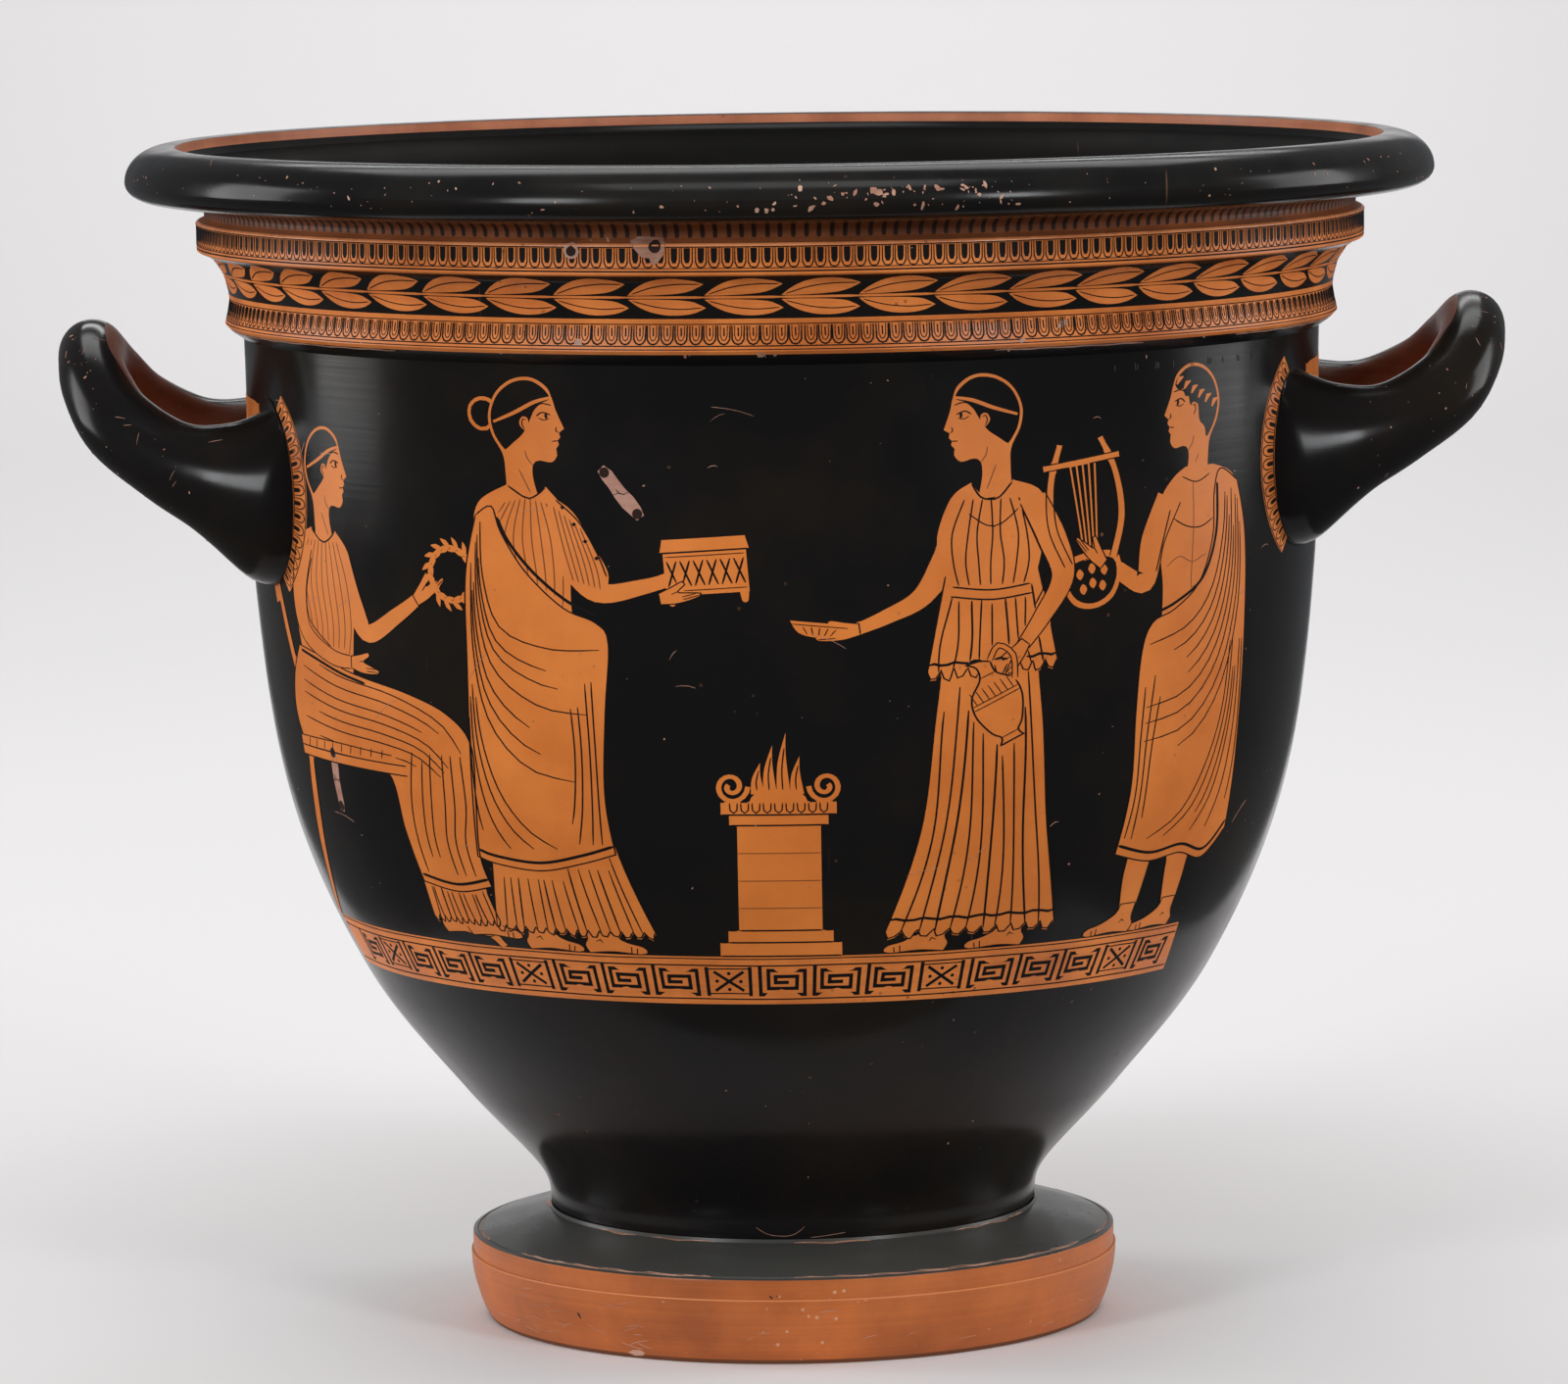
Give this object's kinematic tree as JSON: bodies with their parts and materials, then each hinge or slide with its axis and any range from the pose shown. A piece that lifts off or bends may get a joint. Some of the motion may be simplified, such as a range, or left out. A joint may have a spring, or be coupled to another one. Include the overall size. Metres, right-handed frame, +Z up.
{
  "type": "bell krater",
  "caption": "Wide-mouthed fired-clay bell krater with a flared moulded rim, two upturned loop handles, a short stem and a turned disc foot.",
  "frame": {"origin": "centre of the plane that the foot rests on, under the axis of the bowl", "axes": "+Z up along the bowl's axis; the two handles reach along +X and -X; the picture with the most figures faces -Y"},
  "size_m": [0.504, 0.455, 0.4131],
  "materials": {
    "black_gloss": "worn black gloss slip",
    "reserved_clay": "smooth orange fired clay"
  },
  "bodies": {
    "root": {"krater": "black_gloss"}
  },
  "joints": []
}
